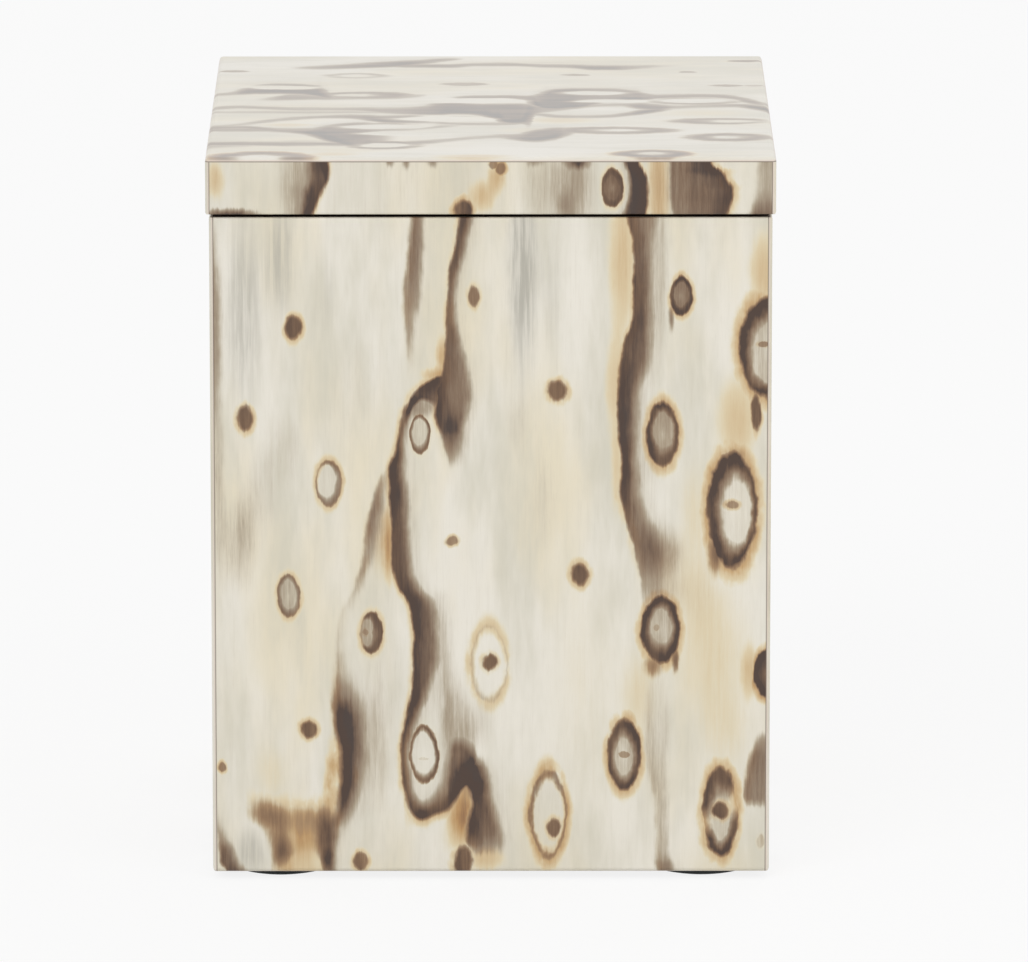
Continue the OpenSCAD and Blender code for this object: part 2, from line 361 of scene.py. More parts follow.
FRONT_PATCHES = [
    # Grey shade
    (6.6, 130, 3.4, 26, -0.56, 0), (12.4, 124, 2.6, 16, -0.2, 0), (5.8, 97, 3, 9, 0, 0.14),
    (10.5, 80, 3.6, 12, 0, 0.16), (-43, 131, 3.4, 14, -0.4, 0), (-50.5, 120, 4.4, 22, -0.4, 0.04),
    (-33.6, 124, 2.4, 9, -0.2, 0), (-27, 107, 5, 12, 0, 0.08), (-42.5, 91, 4.5, 9, 0, 0.17),
    (-48, 80, 5, 10, 0, 0.17), (-52, 70, 4, 10, 0, 0.26), (-31, 99, 6, 12, 0, 0.06),
    (-55.8, 88, 1.4, 24, 0, 0.26), (-8, 36, 3.2, 9, 0, 0.3), (-9.4, 50, 2.4, 9, 0, 0.1),
    (-2.5, 33, 4, 6, 0, 0.2), (34.6, 70, 5, 5, 0.14, 0.3), (35.5, 63, 5, 8, 0.2, 0.2),
    (-23.4, 25, 3.2, 14, 0.08, 0.1), (-22.5, 42, 5, 14, 0, 0.1), (-50, 6, 4, 5, -0.4, -0.2),
    (-4, 21.4, 3, 4.6, 0.1, 0.4), (34.6, 128, 1.6, 14, 0, 0.16), (34.2, 88, 3.6, 4, 0, 0.08),
    (-14.5, 99.5, 3, 2.2, 0.1, 0.42), (-57.4, 118, 2.4, 20, 0, 0.56), (-7.4, 93, 3, 6, 0, 0.25),
    (50, 89.6, 2.6, 1.8, 0.2, 0.4),
    # Gold and cream
    (26.8, 131, 3, 17, 0.44, 0), (25.4, 104, 2, 13, 0.36, 0), (26, 86, 1.6, 9, 0.3, 0),
    (56, 128, 3.2, 9, 0.46, 0), (50.5, 97, 4.4, 10, 0.42, 0), (45.5, 47, 9, 17, 0.24, 0),
    (31, 39, 4, 12, 0.2, 0.06), (43, 60, 4.6, 8, 0.1, 0.1), (49, 29, 6, 10, 0.14, 0),
    (42, 76, 4, 14, 0.2, 0), (20, 40, 10, 36, 0.1, 0), (-11.6, 106.6, 2.6, 1.7, 0.56, 0),
    (-9.9, 110.4, 1.5, 5, 0.6, 0), (-20.9, 71, 1.4, 8, 0.62, 0), (-22.4, 72, 2.4, 9, 0.3, 0.12),
    (-6.2, 15, 2.6, 7, 0.78, 0.06), (-4.8, 15, 1.2, 7, 0.3, 0.06), (-7.4, 9.4, 3, 5, 0.26, 0),
    (-1, 4.5, 4, 3, 0.45, 0), (-45, 22, 4, 7, 0.16, 0), (-50, 45, 7, 26, 0.06, 0),
    (-28, 22, 0.9, 2.6, 0.4, 0), (47, 0.5, 10, 12, 0.16, 0), (53.4, 44, 1.8, 5.4, 0.4, 0),
    # The brown arch low on the left, over a pale cap
    (-47, 14.4, 3.2, 3, 0.5, 0.5), (-44.2, 10, 3, 5.6, 0.5, 0.5), (-42.8, 4.6, 2.4, 4.4, 0.5, 0.6),
    (-38.8, 13, 6, 3, 0.6, 0.34), (-38.6, 8.6, 3.2, 4.6, 0.8, 0.14), (-34.2, 9, 2.3, 6.2, 0.5, 0.78),
    (-33.6, 3, 1.7, 3.2, 0.2, 0.56), (-39, 1.2, 4.6, 3.6, 0.4, -0.8),
    # Marks with a little of both: drips below rings and soft ends of bands
    (37, 118.4, 0.7, 2.8, 0.2, 0.6), (37.9, 46.6, 0.8, 2.6, 0.4, 0.7), (33.4, 45.4, 1.8, 2.2, 0.5, 0.5),
    (46.2, 69.6, 1.6, 4.6, 0.75, 0.7),
    # Pale places, which cut into the marks
    (-38, 21, 4.4, 6, -0.1, -0.1), (-24, 8, 4, 5, -0.1, -0.2), (50.6, 16.5, 1.6, 3.4, 0, -0.9),
    (44.2, 12, 1.3, 2.8, 0, -0.7),
]
FRONT = Figure(FRONT_BANDS, FRONT_RINGS, FRONT_DOTS, FRONT_PATCHES)

# The lid's front strip, in the same frame
LID_FRONT_BANDS = [
    Band([(152.2, -37, -33.6, 0.9), (150, -37.2, -33.2, 0.95), (148, -37, -33.2, 0.92),
          (146.8, -37.2, -33.6, 0.95), (145, -37.9, -34.6, 0.97), (143, -38, -35.3, 1),
          (140, -38.5, -36.5, 1)], halo=1.5, soft=2.2, tone=1, crisp=1, flip=True),
    Band([(152.2, 36.7, 44.4, 1), (150.4, 36.6, 45.5, 1), (149, 36.6, 47.4, 1), (147.4, 36.6, 48.2, 0.97),
          (145.4, 36.6, 49.4, 0.95), (144, 36.6, 49.3, 0.95), (142.4, 36.8, 48.7, 0.92),
          (140, 37.2, 48, 0.9)], halo=2.4, soft=0.9, warmth=0.8, tone=1, crisp=1, lasting=0.3, flip=True),
    Band([(152.2, 27.4, 29.4, 1), (150.6, 27.7, 30.2, 1), (149, 28.4, 31.3, 1), (147.5, 28.6, 31.9, 1),
          (143.6, 28.4, 32, 1), (140, 27.2, 31.4, 1)],
         soft=1.4, warmth=0.7, tone=1.12, lasting=0.2, flip=True),
    # Grey-brown streak of the veneer at the right edge; its darkening toward the lower corner is partly
    # painted shadow from the gap under the lid
    Band([(152.2, 54.8, 58, 0.5), (147, 54.6, 58, 0.42), (144, 54.4, 58, 0.52), (142, 53.8, 58, 0.8),
          (140, 53.2, 58, 1)], halo=0.6, soft=0.6, warmth=0.1, tone=0.85, crisp=2.6),
]
LID_FRONT_RINGS = [
    (24.8, 145.8, 2.4, 4.2, 0.5, 0.86, 0.35, 0, 0, 0.96),
]
LID_FRONT_DOTS = [
    (0.4, 150.6, 1.2, 1.1, 0.9, 0.5), (2, 149.8, 1.3, 1.5, 1, 0.6), (-5.4, 141.2, 2.3, 2.6, 0.9, 1),
]
LID_FRONT_PATCHES = [
    (34.3, 146, 2.3, 14, 0.52, 0.16), (1.2, 148, 1.8, 3.4, 0.5, 0), (-1.8, 144, 2.8, 3.4, 0.45, 0),
    (-56, 147.5, 2, 4, 0.4, 0.08), (10, 146, 4, 9, 0, 0.16), (-14, 146, 48, 24, 0.05, 0.09),
    (16.8, 146, 4.4, 12, 0, 0.4), (15.4, 142, 1.7, 3.4, 0, 0.26), (17.6, 151, 2.6, 1.3, 0, 0.6),
    (-20.5, 151.6, 1, 1.5, 0, 0.5), (-17.2, 151.4, 0.8, 1.7, 0, 0.4), (-11.8, 151.2, 1.2, 1.3, 0, 0.4),
    # The first patch on this line, dark along the lid's lower edge at the left, is painted shadow from the
    # gap under the lid
    (-53, 140.2, 5.5, 1.3, 0, 0.9), (-40, 146, 3.4, 12, 0, 0.24), (9, 151.4, 2, 1.2, 0, 0.3),
]
LID_FRONT = Figure(LID_FRONT_BANDS, LID_FRONT_RINGS, LID_FRONT_DOTS, LID_FRONT_PATCHES)

# The top of the lid, whose grain runs from left to right: from the front backwards, then to the right
TOP_BANDS = [
    # Wavy lines near the back edge
    faded([(-44, 42.6, 44.2, 0), (-36, 42.6, 45.8, 0.6), (-28, 44, 49, 0.8), (-20.7, 45.6, 51, 1),
           (-15, 48.4, 52.4, 0.8), (-11, 51, 54.4, 0.7), (-5, 53.4, 55.4, 0)], crisp=3.6),
    faded([(-24, 46, 47.8, 0), (-18, 44.8, 48.2, 0.7), (-9, 44.6, 47.8, 0.7), (-2.6, 46.4, 49.2, 0.55),
           (2.8, 46.4, 49.4, 0.6), (10, 44.8, 47.6, 0.66), (16.7, 43.8, 47, 0.72), (23, 41.8, 45.6, 1),
           (28, 42, 45.8, 0.8), (33, 43.4, 46.4, 0.5), (42, 45.2, 47.4, 0)], crisp=3.6),
    # Twin eyes at the left
    faded([(-58, 11.6, 13.4, 0.5), (-54.4, 12.8, 15.2, 0.6), (-52.2, 13.4, 19, 0.85),
           (-49.5, 14, 22.8, 0.95), (-45, 14, 24.8, 0.95), (-40.5, 13.6, 24.2, 0.95), (-37, 11.5, 22, 0.95),
           (-35, 9, 17, 0.9), (-33.4, 8, 13, 0.6), (-31.5, 8, 11, 0)], tone=1.08),
    faded([(-51, 5.4, 6.6, 0), (-45.5, 6.4, 9.5, 0.55), (-42.4, 7, 12.4, 0.75), (-38, 7.2, 12, 0.7),
           (-34, 7.2, 10, 0.6), (-29, 7.2, 9.2, 0.5), (-22, 7.6, 9.4, 0.45), (-17, 9.6, 11.8, 0.5),
           (-13, 11, 12.4, 0)]),
    # The long flow through the middle mass to the right edge
    faded([(-58.5, -4.6, -2.4, 0.5), (-52.7, -2.6, -0.6, 0.6), (-47, -3.7, -1.5, 0.5),
           (-40, -5.4, -3, 0.45), (-30, -5.4, -2.8, 0.5), (-20.5, -8.8, -2.8, 0.6), (-14, -9.8, -1.4, 0.8),
           (-10.9, -9.8, 2.4, 0.9), (-8, -9.2, 3, 1), (-3, -10, 1.4, 1), (1, -15, 1, 1), (4.5, -19.6, 1, 1),
           (7, -19, 0.8, 0.95), (9.5, -9.4, 0, 0.75), (14, -5.6, -2.4, 0.55), (18.4, -2.6, 0, 0.55),
           (26.8, -0.4, 2, 0.55), (31, -3.6, 2.2, 0.85), (34.5, -4.8, 0.6, 0.9), (38, -3.6, -0.8, 0.6),
           (43.5, -2.2, 0.2, 0.5), (51, -1.2, 1.3, 0.6), (54.5, -3.4, 0, 0.85), (58.5, -7, -3.4, 1)],
          soft=3.6, tone=1.12, crisp=4.2),
    # From the left edge to the mass in front of it
    faded([(-58.5, -26, -23.5, 0.5), (-53, -23.4, -21, 0.45), (-49, -20.8, -18.2, 0.5),
           (-42, -16.4, -13.7, 0.55), (-33.7, -14, -11.4, 0.6), (-27.5, -15, -10.7, 0.7),
           (-22, -19, -12, 0.9), (-17, -19.6, -11.5, 0.88), (-13, -19.4, -14, 0.7), (-9, -21.4, -18.6, 0.5),
           (-3, -22.2, -19.8, 0.55), (3, -21.8, -19.4, 0.55), (8, -20, -18, 0)], soft=3.4),
    faded([(-58.5, -27, -23.5, 0.6), (-52, -25.6, -23, 0.6), (-46, -28.4, -25.6, 0.65),
           (-39.6, -31, -28, 0.8), (-36, -34.5, -26, 0.95), (-33, -39.5, -22.5, 1), (-30, -43.6, -20.4, 1),
           (-27, -45.4, -19.6, 0.95), (-24, -43, -22, 0.7), (-21, -40, -30, 0.3), (-18, -39, -34, 0)],
          soft=3.4, tone=1.12),
    faded([(-32, -28.8, -26, 0.6), (-22, -28.6, -26.2, 0.6), (-15, -26.8, -24.2, 0.6),
           (-10, -24.8, -22.4, 0.5), (-4, -23, -21, 0)], crisp=3.2),
    # Grey streak near the front edge at the left
    faded([(-58.5, -47.4, -43.2, 0.6), (-50, -45.6, -42.2, 0.5), (-39.5, -42.2, -39, 0.45),
           (-32, -41.6, -39, 0.4), (-27, -41, -39.6, 0)], soft=3.6, warmth=0, tone=0.78, crisp=4.4),
    # From the ring in front to the small mass right of the middle
    faded([(-18, -44.4, -41, 0.7), (-12, -41.6, -38.8, 0.55), (-8.6, -39.8, -37.2, 0.5),
           (-2.5, -37, -34.4, 0.5), (1.6, -36, -33, 0.55), (5.8, -38.6, -32.4, 0.75), (9, -39.6, -28.6, 1),
           (12, -38, -26.4, 1), (15, -34.6, -25.6, 0.75), (18, -31, -26, 0.3), (20, -30, -28, 0)],
          soft=3.4),
    # The mass with two eyes, back right, and the line on to the right edge
    faded([(-12, 3, 5, 0), (-9, 5.2, 7.6, 0.6), (-3, 8, 11, 0.75), (3.8, 7.6, 11, 0.75), (8, 4, 10.6, 0.8),
           (10.5, -2.6, 13, 0.95), (13.3, -3.4, 17.8, 1), (16, -2.6, 18.6, 1), (19, -1.6, 18.9, 0.9),
           (23, 2.4, 18.8, 0.85), (27, 3.4, 18.2, 0.9), (30, 6.4, 16.5, 0.9), (32.5, 6.6, 13.5, 0.75),
           (35, 8.4, 11.8, 0.7), (43.7, 9.2, 12, 0.7), (50, 7.8, 10.8, 0.75), (53, 4.4, 8, 0.75),
           (57, 0, 3, 0.4)], tone=1.12),
    faded([(3, -8.6, -6.6, 0.4), (9, -11.2, -8.6, 0.45), (14, -13.6, -11, 0.6), (20, -13.8, -11.3, 0.55),
           (24.5, -13.4, -11, 0.6), (29, -11.2, -8.2, 0.7), (33, -8.4, -4.6, 0.9), (36.5, -5.8, -3.4, 0.5),
           (40, -4, -3, 0)], tone=1.08, crisp=3.2),
]
TOP_RINGS = [
    (34.4, -28.5, 3.1, 7.2, 0.3, 0.25, 0.1, 0.2, 0, 0.4),
    (11.7, -26.6, 3.9, 10.2, 0.32, 0.16, 0.1, 0, 0.5, 0.75),
    (-24, -22.8, 3.8, 8.8, 0.34, 0, 0.2, 0, -0.2, 0.9),
    (-44.4, -21.9, 4.3, 7.4, 0.36, 0.12, 0.3, 0.1, 0.3, 0.9),
    (-57, -46.9, 5.2, 9.8, 0.24, 0, 0.95, 0.3, 0.1, 1),
    (-28.2, 25.2, 3.8, 12.8, 0.34, 0.1, 0.3, -0.1, -0.2, 0.8),
    (-17.8, 47.3, 3.4, 10.2, 0.34, 0.12, 0.3, 0.1, -0.6, 0.75),
    (-35.8, 49, 4.3, 8.7, 0.34, 0.12, 0.3, 0, 0.1, 0.8), (-54, 32.9, 4, 7.6, 0.3, 0.16, 0.85, -0.3, 0, 1),
    (-15.6, -7.7, 3.4, 8.8, 0.3, 0, 0.2, 0, 0, 0.6), (4.8, 42.6, 4, 9.8, 0.3, 0, 0.2, 0, 0, 0.7),
]
TOP_DOTS = [
    (39.7, -54.5, 1.4, 3.8, 0.1, 0.6), (24.4, -5.5, 2.2, 6.6, 0.1, 0.6), (22.7, 49.8, 1.5, 4.6, 0.2, 0.6),
    (51.6, 54.5, 1.4, 4.4, 0.4, 0.75), (38.5, 41.9, 1.3, 2.3, 0.2, 0.6), (35, 18.1, 1.4, 3.8, 0.1, 0.6),
    (22.6, 55.6, 1.2, 3, 0.2, 0.4),
]
TOP_PATCHES = [
    # Eyes: pale places in the masses
    (20.8, -45.8, 2.2, 5.4, -1, -1.6), (20.2, -40.7, 2, 4, -1, -1.6), (14, 21.7, 2.2, 7, -1, -1.6),
    (4.8, 24.2, 2, 7, -1, -1.6), (-24, -22.8, 2.6, 9, -1, -1.6), (-31.4, -19.5, 2, 8.4, -1, -1.6),
    (5.6, -3.6, 2.6, 11, -1, -1.6), (-15.6, -9.7, 2.6, 10.4, -1, -1.6), (-44.4, -21.9, 2.2, 6, -1, -1.4),
    (5.4, 42.6, 2.6, 8.4, -0.6, -0.9),
    # Tints
    (-56.6, -3.5, 2.6, 9, 0.5, 0), (-54.5, -33, 2.4, 7, 0.34, 0), (-50, -30, 4, 8, 0.2, 0),
    (-16.8, 14.5, 4.4, 9, 0.36, 0), (-9, 44, 6, 12, 0.26, 0), (-28, 8, 4, 8, 0.24, 0),
    (-42, 5, 5, 20, 0, 0.08), (18, 30, 8, 16, 0.06, 0.04), (40, -46, 7, 9, 0.1, 0.04),
    (50, 20, 6, 18, 0.12, 0.04), (-22, -42, 3, 7, 0.34, 0), (0, -42, 5, 10, 0.06, 0.1),
]
TOP = Figure(TOP_BANDS, TOP_RINGS, TOP_DOTS, TOP_PATCHES)

# Marks on the faces that the photograph doesn't show. A pair is the lowest and highest of a random
# draw, lengths are in millimetres, and a slimness is a length over a width.
# Bands: where each starts, as a share of the half width, then its rows and how it wanders
INVENTED_MIDDLES = [(-0.85, -0.6), (-0.35, -0.1), (0.15, 0.4), (0.6, 0.85)]
INVENTED_ROWS = 11
WANDER_REACH = 3.6
WANDER_LIMIT = 56
SKIPPED_FIRST = [0, 0, 1, 2, 4]
SKIPPED_LAST = [0, 0, 0, 2, 5]
INVENTED_THICK = (1.3, 3.2)
SWELL_CHANCE = 0.2
SWELL = 3.4
INVENTED_STRENGTH = (0.75, 1)
INVENTED_LOOKS = {"halo": (1.2, 2.4), "soft": (1.6, 4.5), "warmth": (0.5, 0.75), "tone": (0.7, 1.08)}
FLIP_CHANCE = 0.3

# Knots: how they spread, and the draws of a ring, of its eye and of a dot in the order of their rows
KNOT_TRIES = 400
KNOTS_AT_MOST = 21
KNOT_REACH = (-0.93, 0.93)
KNOT_MARGIN = 5
KNOT_ROOM_ACROSS = 11
KNOT_ROOM_ALONG = 19
RING_CHANCE = 0.55
EYE_CHANCE = 0.6
RING_WIDTH = (2.3, 4.6)
RING_SLIMNESS = (1.7, 2.5)
RING_DRAWS = [(0.2, 0.4), (0.08, 0.5), (0.5, 0.95), (-0.5, 0.5), (-0.5, 0.5), INVENTED_STRENGTH]
EYE_DRAWS = [(0.9, 1.7), (0.8, 1.9)]
EYE_HALO = 0.6
EYE_STRENGTH = (0.6, 1)
DOT_WIDTH = (1.3, 2.2)
DOT_SLIMNESS = (1.1, 1.6)
DOT_DRAWS = [(0.7, 1), INVENTED_STRENGTH]

# Soft patches
INVENTED_PATCHES = 9
PATCH_HALF_WIDTH = (3.5, 8)
PATCH_HALF_LENGTH = (8, 26)
PATCH_AMOUNT = 0.28


def wander(dice, place, length):
    """A low edge that drifts across the grain, as (place along the grain, place across it)."""
    points = []
    for i in range(INVENTED_ROWS):
        points.append((length * i / (INVENTED_ROWS - 1), place))
        place = place + dice.uniform(-WANDER_REACH, WANDER_REACH)
        place = min(max(place, -WANDER_LIMIT), WANDER_LIMIT)
    return points


def invented_band(dice, middle, length):
    edge = wander(dice, middle, length)
    first = dice.choice(SKIPPED_FIRST)
    last = INVENTED_ROWS - 1 - dice.choice(SKIPPED_LAST)
    rows = []
    for i, (along, low) in enumerate(edge):
        thick = dice.uniform(*INVENTED_THICK)
        if dice.random() < SWELL_CHANCE:
            thick += SWELL
        strength = dice.uniform(*INVENTED_STRENGTH) if first <= i <= last else 0
        rows.append((along, low, low + thick, strength))
    looks = {name: dice.uniform(*ends) for name, ends in INVENTED_LOOKS.items()}
    return Band(rows, flip=dice.random() < FLIP_CHANCE, **looks)


def draw_all(dice, draws):
    return [dice.uniform(*ends) for ends in draws]


def long_mark(dice, middle, width, slimness, draws):
    """A ring or a dot, as long as its slimness says."""
    wide = dice.uniform(*width)
    return (*middle, wide, wide * dice.uniform(*slimness), *draw_all(dice, draws))


def invented_knots(dice, length, half_width):
    """Rings, some with an eye inside, and dots, spread so that they keep clear of each other."""
    rings, dots, taken = [], [], []
    for _ in range(KNOT_TRIES):
        across = dice.uniform(*KNOT_REACH) * half_width
        along = dice.uniform(KNOT_MARGIN, length - KNOT_MARGIN)
        near = any(abs(across - a) < KNOT_ROOM_ACROSS and abs(along - b) < KNOT_ROOM_ALONG
                   for a, b in taken)
        if near or len(taken) == KNOTS_AT_MOST:
            continue
        middle = (across, along)
        taken.append(middle)
        if dice.random() < RING_CHANCE:
            rings.append(long_mark(dice, middle, RING_WIDTH, RING_SLIMNESS, RING_DRAWS))
            if dice.random() < EYE_CHANCE:
                eye = draw_all(dice, EYE_DRAWS)
                dots.append((*middle, *eye, EYE_HALO, dice.uniform(*EYE_STRENGTH)))
        else:
            dots.append(long_mark(dice, middle, DOT_WIDTH, DOT_SLIMNESS, DOT_DRAWS))
    return rings, dots


def invented_patch(dice, length, half_width):
    warm = dice.random() < 0.5
    place = (dice.uniform(-1, 1) * half_width, dice.uniform(0, length))
    half = (dice.uniform(*PATCH_HALF_WIDTH), dice.uniform(*PATCH_HALF_LENGTH))
    return (*place, *half, PATCH_AMOUNT * warm, PATCH_AMOUNT * (not warm))


def invented_figure(seed, length, half_width):
    """A figure of the same kind for a face that the photograph doesn't show."""
    dice = random.Random(seed)
    middles = [dice.uniform(low, high) * half_width for low, high in INVENTED_MIDDLES]
    bands = [invented_band(dice, middle, length) for middle in middles]
    rings, dots = invented_knots(dice, length, half_width)
    patches = [invented_patch(dice, length, half_width) for _ in range(INVENTED_PATCHES)]
    return Figure(bands, rings, dots, patches)


# Half the width that the bands of any face are drawn in, and the step that their slope is taken over
BAND_REACH = 60
SLOPE_STEP = 0.8

# Where the parts of a band start and end, as shares of its crispness, softness or halo
CORE_SHARES = (-0.62, 0.38)
FADE_SHARES = (0.8, -0.6)
TAIL_SHARES = (2, -0.2)
GLOW_SHARES = (-1, 0.4)
# The same in millimetres past the sharp edge, and past the far edge
PALER_SPAN = (5, 0.4)
LASTING_SPAN = (2.6, 0.3)
GLOW_END_SPAN = (1, -0.8)
# How dark the grey tail is, and the tone away from the sharp edge
TAIL_TONE = 0.26
PALER_TONE = 0.78


def curve_through(curve, points):
    """Shapes one curve of an RGB Curves node so that it runs through these points."""
    curve.points[0].location = points[0]
    curve.points[1].location = points[-1]
    for place in points[1:-1]:
        curve.points.new(*place)
    for point in curve.points:
        point.handle_type = "AUTO_CLAMPED"


def past_edge(g, place, edge, ahead, side):
    """How far a place lies past an edge, in millimetres square to it. Ahead is the edge a step on."""
    slope = g.product(g.math("SUBTRACT", ahead, edge), 2 * BAND_REACH / SLOPE_STEP)
    slant = g.math("INVERSE_SQRT", g.math("MULTIPLY_ADD", slope, slope, 1))
    return g.product(g.math("SUBTRACT", place, edge), g.product(slant, side))


def make_band_group():
    """Adds one band to the warm and dark fields.

    "edges" holds its sharp edge, its far edge and its strength, and "ahead" the
    same a small step further on, from which comes the slope of the edge.
    """
    g, given, wanted = new_group(
        "band", ["edges", "ahead"], ["place", "side", "patchy", "warm", "dark", *BAND_LOOKS],
        [], ["warm", "dark"])
    sharp, far, strength = g.split(given["edges"])
    sharp_ahead, far_ahead, _ = g.split(given["ahead"])
    side = g.product(given["side"], 2 * BAND_REACH)
    place = g.math("MULTIPLY_ADD", given["place"], 0.5 / BAND_REACH, 0.5)
    past_sharp = past_edge(g, place, sharp, sharp_ahead, side)
    past_far = past_edge(g, place, far, far_ahead, side)

    core = g.scaled_step(past_sharp, given["crisp"], CORE_SHARES)
    fade = g.scaled_step(past_far, given["soft"], FADE_SHARES)
    tail = g.product(g.scaled_step(past_far, given["soft"], TAIL_SHARES), TAIL_TONE)
    paler = g.between(g.step(past_sharp, *PALER_SPAN), PALER_TONE, 1)
    dark = g.product(core, g.greater(fade, tail), paler, given["tone"], strength)

    glow = g.scaled_step(past_sharp, given["halo"], GLOW_SHARES)
    inside = g.between(g.step(past_sharp, *LASTING_SPAN), given["lasting"], 1)
    warm = g.product(glow, given["patchy"], given["warmth"], strength,
                     g.step(past_far, *GLOW_END_SPAN), inside)
    g.feed(wanted["warm"], g.greater(given["warm"], warm))
    g.feed(wanted["dark"], g.greater(given["dark"], dark))
    return g.tree


def inner_place(g, given):
    """The place as counted from the middle of an ellipse, in its half sizes."""
    return g.vector("DIVIDE", g.vector("SUBTRACT", given["place"], given["middle"]), given["half"])


def make_nearer_group():
    """Keeps whichever of two ellipses has its outline nearer, with the values that belong to it."""
    kept = ["inner", "first", "second"]
    new = ["place", "middle", "half", "new first", "new second"]
    g, given, wanted = new_group("nearer outline", new + kept, ["beyond"], kept, ["beyond"])
    inner = inner_place(g, given)
    beyond = g.product(g.math("SUBTRACT", g.vector("LENGTH", inner), 1), g.split(given["half"])[0])
    nearer = g.math("LESS_THAN", beyond, given["beyond"])
    g.feed(wanted["beyond"], g.math("MINIMUM", beyond, given["beyond"]))
    for name, value in zip(kept, (inner, given["new first"], given["new second"])):
        g.feed(wanted[name], g.choose(nearer, given[name], value))
    return g.tree


# Where a patch starts and is whole, in its half sizes
PATCH_SPAN = (1.5, 0.1)


def make_patch_group():
    """Adds a soft patch to a sum of warm and dark."""
    g, given, wanted = new_group("patch", ["place", "middle", "half", "amount", "sum"], [], ["sum"], [])
    soft = g.step(g.vector("LENGTH", inner_place(g, given)), *PATCH_SPAN)
    g.feed(wanted["sum"], g.vector("ADD", given["sum"], g.times(given["amount"], soft)))
    return g.tree


# Further from a place than any outline, in millimetres
FAR_AWAY = 1000
BAND_GROUP = make_band_group()
NEARER_GROUP = make_nearer_group()
PATCH_GROUP = make_patch_group()


def clamped(value):
    return min(max(value, 0), 1)


def band_middle(band):
    """Level that a lying band's edges are counted from; the others count from the face's middle."""
    if not band.lying:
        return 0
    levels = [level for row in band.rows for level in row[1:3]]
    return (min(levels) + max(levels)) / 2


def band_edges(g, band, place, low_place, length):
    """Sharp edge, far edge and strength of a band at a place, each from 0 to 1."""
    unit = g.math("DIVIDE", g.math("SUBTRACT", place, low_place), length, clamp=True)
    curves = g.node("RGBCurve", {1: g.join(unit, unit, unit)})
    curves.mapping.extend = "HORIZONTAL"
    middle = band_middle(band)
    rows = sorted(band.rows)
    edges = [[0.5 + 0.5 * (row[k] - middle) / BAND_REACH for row in rows] for k in (1, 2)]
    if band.flip:
        edges.reverse()
    for curve, column in zip(curves.mapping.curves, edges + [[row[3] for row in rows]]):
        curve_through(curve, [(clamped((row[0] - low_place) / length), clamped(value))
                              for row, value in zip(rows, column)])
    curves.mapping.update()
    return curves.outputs[0]


def add_band(g, band, across, along, span, patchy, fields):
    """The warm and dark fields with one more band."""
    run, edge_place, low_place, length = along, across, *span
    if band.lying:
        run, low_place, length = across, -BAND_REACH, 2 * BAND_REACH
        edge_place = g.math("SUBTRACT", along, band_middle(band))
    ahead = g.math("ADD", run, SLOPE_STEP)
    return g.use(BAND_GROUP, {
        "edges": band_edges(g, band, run, low_place, length),
        "ahead": band_edges(g, band, ahead, low_place, length),
        "place": edge_place, "side": -1 if band.flip else 1, **band.looks,
        "patchy": patchy, "warm": fields[0], "dark": fields[1]})


def nearest(g, place, shapes):
    """Of ellipses with two triples of values each, the nearest outline's inner place and values."""
    kept = [(0, 0, 0), (0, 0, 0), (0, 0, 0), FAR_AWAY]
    for middle, half, first, second in shapes:
        kept = g.use(NEARER_GROUP, {
            "place": place, "middle": (*middle, 0), "half": (*half, 1), "new first": first,
            "new second": second, "inner": kept[0], "first": kept[1], "second": kept[2],
            "beyond": kept[3]})
    return kept[:3]


def pointed_reach(g, inner, power):
    """How far out a place lies, 1 on the outline. A power under 2 draws the ellipse to points."""
    u, v, _ = g.split(g.vector("ABSOLUTE", inner))
    total = g.math("ADD", g.math("POWER", u, power), g.math("POWER", v, power))
    return g.math("POWER", total, 1 / power)


# Rings. Where their parts start and end: 1 is on the outline, 0 in the middle
RING_POWER = 1.88
RING_RAGGED = 0.2
RING_OUTSIDE = (1.08, 0.9)
RING_FILL_SPAN = (-1.2, 0.6)
RING_GLOW_SPAN = (1.6, 0.95)
RING_GLOW_INSIDE = (0.6, 1)
RING_GLOW_POWER = 1.8
RING_GLOW_AMOUNT = 0.85
RING_BROWN_SPAN = (0.7, 1)
RING_BROWN = (0.4, 0.75)
# Shares of the rim's thickness over which it rises, where that starts, and the lean at which it opens
RIM_SHARES = (-2.1, -0.4)
RIM_START = (0.98, 1)
OPEN_LEAN = (-0.95, -0.35)


def ring_fields(g, place, rings, ragged, patchy, blur):
    """Warm and dark of the rings: a rim crisp outside, soft inside and thicker on one side."""
    shapes = [(row[:2], row[2:4], row[4:7], row[7:]) for row in rings]
    inner, first, second = nearest(g, place, shapes)
    rim, fill, halo = g.split(first)
    lean_u, lean_v, strength = g.split(second)
    lean = g.vector("DOT_PRODUCT", g.vector("NORMALIZE", inner), g.join(lean_u, lean_v))
    edge = g.math("MULTIPLY_ADD", ragged, RING_RAGGED, pointed_reach(g, inner, RING_POWER))
    outside = g.step(edge, RING_OUTSIDE[0] + blur, RING_OUTSIDE[1] - blur)
    thick = g.product(rim, g.math("ADD", lean, 1))
    rising = g.step(edge, g.math("MULTIPLY_ADD", thick, RIM_SHARES[0], RIM_START[0] - blur),
                    g.math("MULTIPLY_ADD", thick, RIM_SHARES[1], RIM_START[1]))
    rising = g.product(rising, g.step(lean, *OPEN_LEAN))
    filled = g.product(fill, g.step(edge, *RING_FILL_SPAN))
    dark = g.product(g.greater(rising, filled), outside, strength)

    glow = g.product(g.math("POWER", g.step(edge, *RING_GLOW_SPAN), RING_GLOW_POWER),
                     g.step(edge, *RING_GLOW_INSIDE), patchy, halo, RING_GLOW_AMOUNT)
    brown = g.between(g.step(edge, *RING_BROWN_SPAN), *RING_BROWN)
    return g.greater(glow, g.product(dark, strength, brown)), dark


